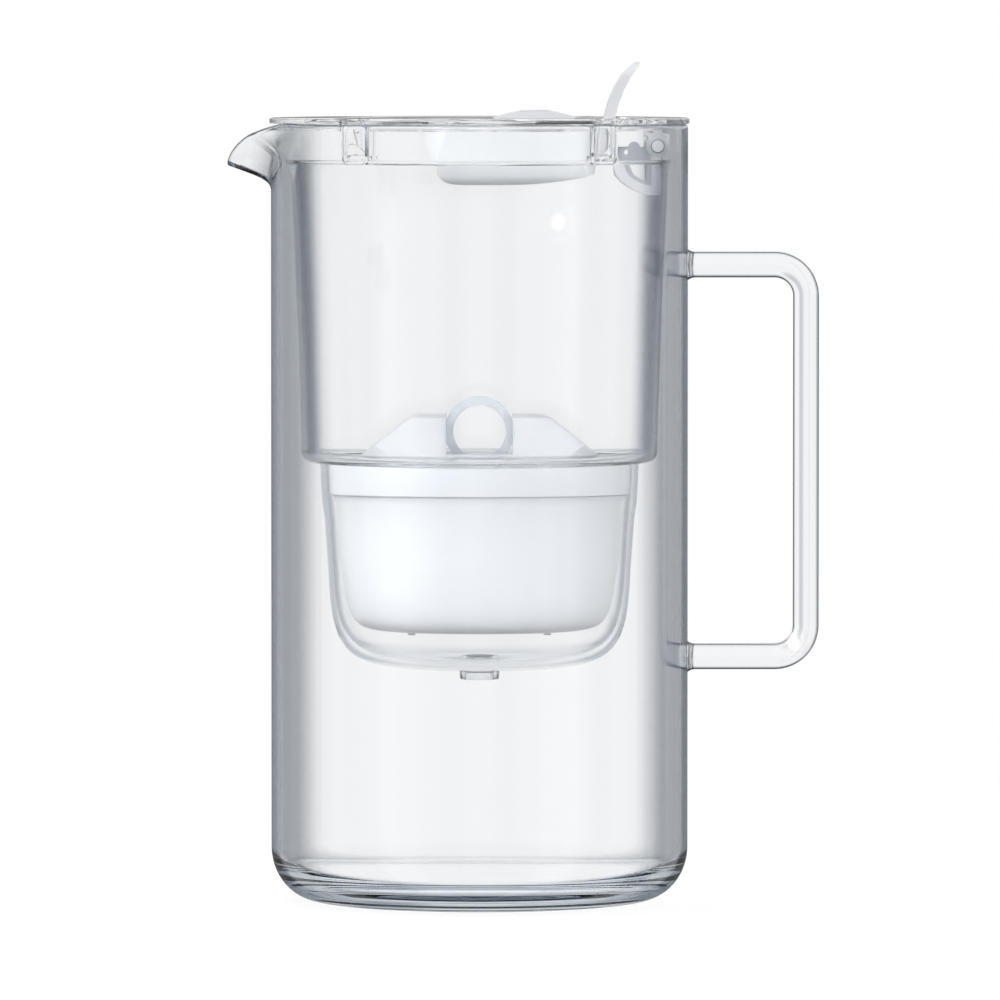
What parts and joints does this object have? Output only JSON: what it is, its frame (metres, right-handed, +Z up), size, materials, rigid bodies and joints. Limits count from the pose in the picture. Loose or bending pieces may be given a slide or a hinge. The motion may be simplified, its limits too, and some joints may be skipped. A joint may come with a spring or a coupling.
{
  "type": "water filter pitcher",
  "caption": "Clear glass jug with a spout and a rod handle, a hanging funnel that holds an oval filter cartridge, and a flat clear lid with a flip flap and thumb lever.",
  "frame": {"origin": "centre of the flat base, on the jug's axis, where it stands on the table", "axes": "+Z up along the jug's axis, +X towards the handle, -X towards the spout, Y across"},
  "size_m": [0.2018, 0.143, 0.2856],
  "materials": {
    "borosilicate_glass": "clear polished glass",
    "clear_funnel_plastic": "clear gloss",
    "clear_lid_plastic": "clear gloss",
    "pin_plastic": "translucent",
    "cartridge_white": "satin white",
    "cartridge_cap_white": "satin translucent white",
    "screen_mesh": "fine woven mesh",
    "filter_granules": "loose granules of carbon and resin",
    "lever_white": "satin white",
    "housing_white": "satin white",
    "silicone": "soft matt",
    "board_green": "solder mask",
    "steel": "plated steel",
    "switch_black": "matt black",
    "light_clear": "clear resin",
    "cell_steel": "bright nickel",
    "contact_brass": "spring brass",
    "button_clear": "translucent"
  },
  "bodies": {
    "jug": {"glass_jug": "borosilicate_glass", "glass_handle": "borosilicate_glass"},
    "funnel": {"funnel": "clear_funnel_plastic"},
    "cartridge": {"cartridge_body": "cartridge_white", "cartridge_cap": "cartridge_cap_white", "inlet_screens": "screen_mesh", "filter_media": "filter_granules", "outlet_screen": "screen_mesh"},
    "lid": {"lid_disc": "clear_lid_plastic", "hinge_pins": "pin_plastic"},
    "flap": {"flap_panel": "clear_lid_plastic", "thumb_lever": "lever_white", "indicator_housing": "housing_white", "housing_seal": "silicone", "indicator_dome": "clear_lid_plastic", "button_boot": "silicone", "circuit_board": "board_green", "board_screws": "steel", "push_switch": "switch_black", "status_lights": "light_clear", "coin_cell": "cell_steel", "cell_contacts": "contact_brass"},
    "button": {"indicator_button": "button_clear"}
  },
  "joints": [
    {"name": "funnel_lift", "type": "slide", "parent": "jug", "child": "funnel", "axis": [0, 0, 1], "range_m": [0, 0.2]},
    {"name": "cartridge_lift", "type": "slide", "parent": "funnel", "child": "cartridge", "axis": [0, 0, 1], "range_m": [0, 0.06]},
    {"name": "lid_lift", "type": "slide", "parent": "funnel", "child": "lid", "axis": [0, 0, 1], "range_m": [0, 0.06]},
    {"name": "flap_hinge", "type": "hinge", "parent": "lid", "child": "flap", "pos_m": [0.0602, 0, 0.2573], "axis": [0, 1, 0], "range_deg": [0, 75]},
    {"name": "button_press", "type": "slide", "parent": "flap", "child": "button", "axis": [0, 0, -1], "range_m": [0, 0.001], "stiffness_N_per_m": 600, "springref_m": -0.0005, "deforming": ["button_boot"]}
  ]
}
